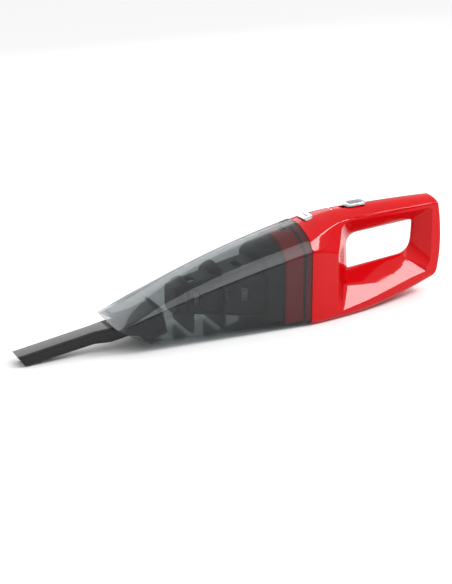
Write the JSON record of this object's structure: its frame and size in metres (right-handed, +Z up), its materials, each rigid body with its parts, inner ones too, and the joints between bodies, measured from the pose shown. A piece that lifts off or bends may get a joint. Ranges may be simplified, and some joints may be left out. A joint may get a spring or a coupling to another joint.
{
  "type": "handheld vacuum",
  "caption": "Cordless handheld vacuum: red motor body with a closed D handle, smoked dust container with a slanted mouth, baffled filter and a slot-shaped crevice tool.",
  "frame": {"origin": "on the ground under the middle of the bounding box, the vacuum resting on its belly and the tip of its tool", "axes": "+X towards the rear of the handle, -X where the mouth points, +Z up"},
  "size_m": [0.5162, 0.097, 0.122],
  "materials": {
    "red_shell": "glossy moulded red",
    "smoked_clear": "smoked clear plastic, polished",
    "black_gloss": "glossy black",
    "black_plastic": "fine satin black",
    "rubber": "soft matte",
    "silver": "satin plated",
    "grey_grip": "ribbed grey",
    "steel": "plain",
    "filter_paper": "pleated paper",
    "white_plastic": "moulded",
    "clear_lens": "clear",
    "copper": "wound wire",
    "cell_wrap": "shrink wrap",
    "board": "solder mask",
    "foam": "open foam"
  },
  "bodies": {
    "body": {"left_housing": "red_shell", "right_housing": "red_shell", "top_cover": "red_shell", "neck": "red_shell", "neck_seal": "rubber", "latch_spring": "steel", "switch_body": "black_plastic", "charge_light_1": "clear_lens", "charge_light_2": "clear_lens", "fan_cover": "black_plastic", "fan_case": "black_plastic", "motor_can": "steel", "motor_cap": "black_plastic", "motor_ring": "rubber", "battery_cell_left": "cell_wrap", "battery_cell_right": "cell_wrap", "cell_link": "steel", "battery_strap_front": "black_plastic", "battery_strap_rear": "black_plastic", "charge_board": "board", "charge_socket": "black_plastic", "socket_pin": "steel", "housing_screw_1": "steel", "housing_screw_2": "steel", "housing_screw_3": "steel", "housing_screw_4": "steel", "housing_screw_5": "steel", "neck_screw_1": "steel", "neck_screw_2": "steel", "neck_screw_3": "steel", "neck_screw_4": "steel", "exhaust_foam_left": "foam", "exhaust_foam_right": "foam"},
    "container": {"dust_container": "smoked_clear", "inlet_duct": "black_gloss", "flap_pin": "steel"},
    "flap": {"inlet_flap": "rubber"},
    "tool": {"crevice_tool": "black_gloss"},
    "filter": {"filter_cage": "black_plastic", "baffle_front": "black_plastic", "baffle_rear": "black_plastic", "filter_frame": "black_plastic", "filter_element": "filter_paper", "filter_gasket": "rubber"},
    "button": {"release_button": "silver", "button_grip": "grey_grip", "latch_hook": "black_plastic"},
    "switch": {"power_switch": "silver", "switch_pad": "grey_grip"},
    "rotor": {"impeller": "white_plastic", "motor_shaft": "steel", "motor_armature": "copper"}
  },
  "joints": [
    {"name": "container_slide", "type": "slide", "parent": "body", "child": "container", "axis": [-0.9994, 0, 0.0338], "range_m": [0, 0.16]},
    {"name": "flap_hinge", "type": "hinge", "parent": "container", "child": "flap", "pos_m": [-0.0965, 0, 0.04035], "axis": [0, -1, 0], "range_deg": [0, 35]},
    {"name": "tool_slide", "type": "slide", "parent": "container", "child": "tool", "axis": [-0.9893, 0, -0.1457], "range_m": [0, 0.09]},
    {"name": "filter_slide", "type": "slide", "parent": "body", "child": "filter", "axis": [-0.9994, 0, 0.0338], "range_m": [0, 0.065]},
    {"name": "release_press", "type": "slide", "parent": "body", "child": "button", "axis": [-0.0338, 0, -0.9994], "range_m": [0, 0.0025], "stiffness_N_per_m": 900, "springref_m": -0.0006, "deforming": ["latch_spring"]},
    {"name": "switch_slide", "type": "slide", "parent": "body", "child": "switch", "axis": [-0.9999, 0, 0.0138], "range_m": [0, 0.006]},
    {"name": "rotor_spin", "type": "hinge", "parent": "body", "child": "rotor", "pos_m": [0.1044, 0, 0.04896], "axis": [0.9994, 0, -0.0338], "continuous": true}
  ],
  "couplings": [
    {"joint": "filter_slide", "follows": "container_slide", "ratio": 0.4}
  ]
}
